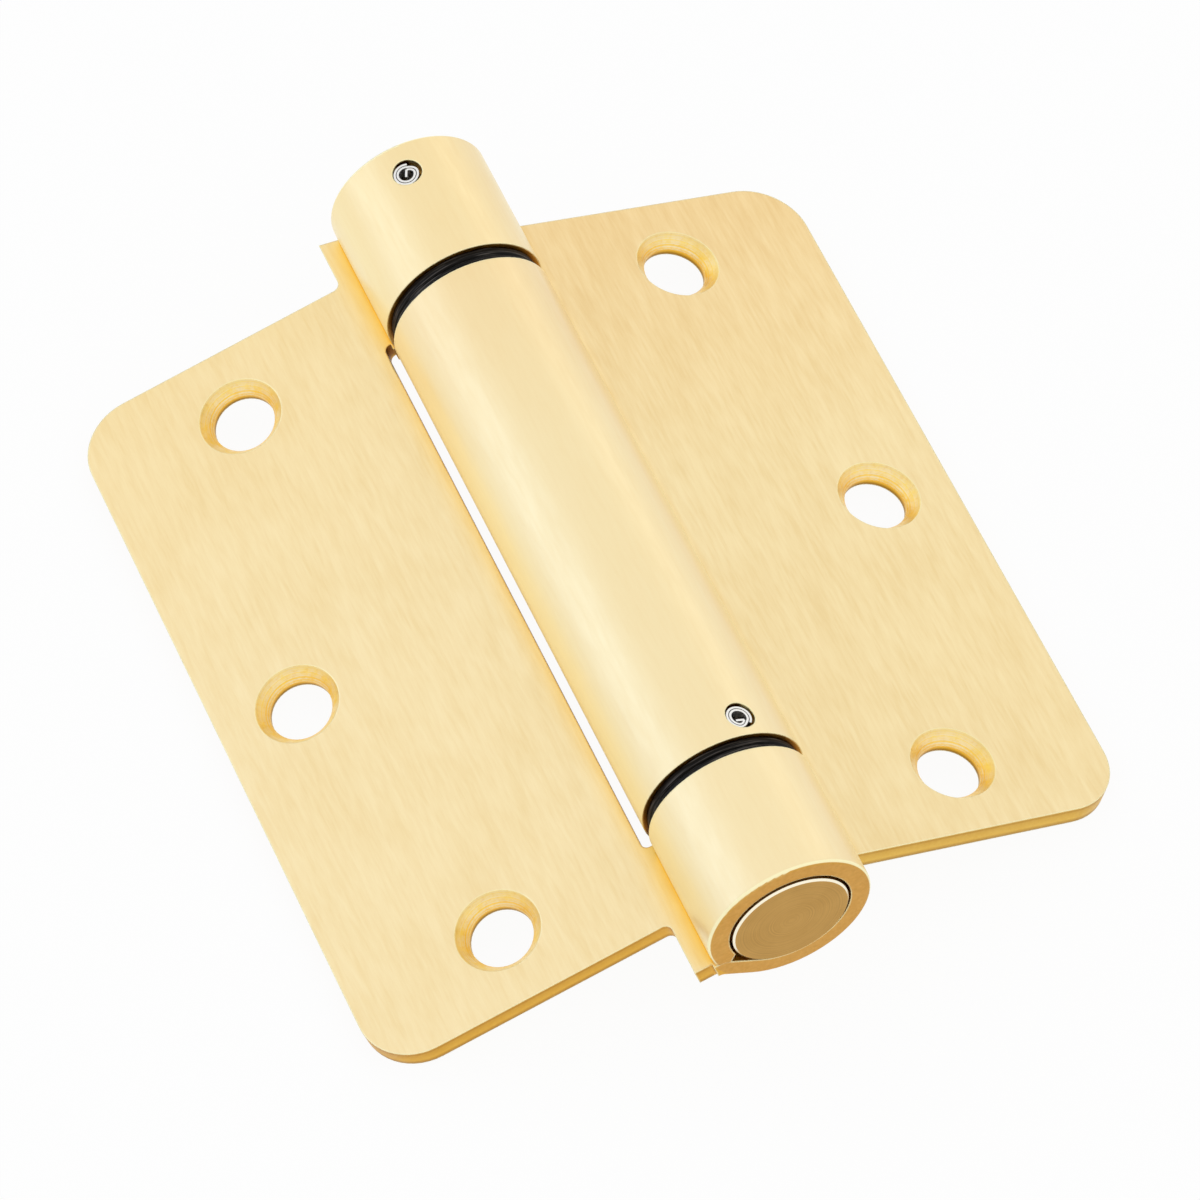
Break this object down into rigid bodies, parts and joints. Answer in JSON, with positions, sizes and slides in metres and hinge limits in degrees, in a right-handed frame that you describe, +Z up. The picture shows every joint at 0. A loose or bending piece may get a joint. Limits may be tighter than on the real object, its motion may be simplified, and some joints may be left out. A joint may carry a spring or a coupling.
{
  "type": "spring loaded door hinge",
  "caption": "Butt hinge for a door with a torsion spring in its barrel, rounded leaf corners and staggered countersunk screw holes.",
  "frame": {"origin": "on the floor, under the middle of the barrel, with the hinge lying as a tent on the outer edges of both leaves", "axes": "+Y along the barrel towards the knuckle with the hex socket, +X towards the door leaf, +Z up, away from the backs of the leaves"},
  "size_m": [0.0848, 0.1024, 0.0248],
  "materials": {
    "satin_brass": "satin, brushed along the barrel",
    "plug_brass": "turned, plated, dull on its end",
    "spring_steel": "drawn wire",
    "black_nylon": "moulded, dull",
    "pin_steel": "rolled strip"
  },
  "bodies": {
    "frame": {"frame_leaf": "satin_brass", "tension_plug": "plug_brass", "torsion_spring": "spring_steel", "upper_coiled_pin": "pin_steel", "upper_thrust_washer": "black_nylon", "lower_bearing_bush": "black_nylon"},
    "door": {"door_leaf": "satin_brass", "anchor_plug": "plug_brass", "lower_coiled_pin": "pin_steel", "upper_bearing_bush": "black_nylon", "lower_thrust_washer": "black_nylon"}
  },
  "joints": [
    {"name": "door_swing", "type": "hinge", "parent": "frame", "child": "door", "pos_m": [0, 0, 0.01577], "axis": [0, 1, 0], "range_deg": [-215, 104], "stiffness_Nm_per_rad": 0.59, "deforming": ["torsion_spring"]}
  ]
}
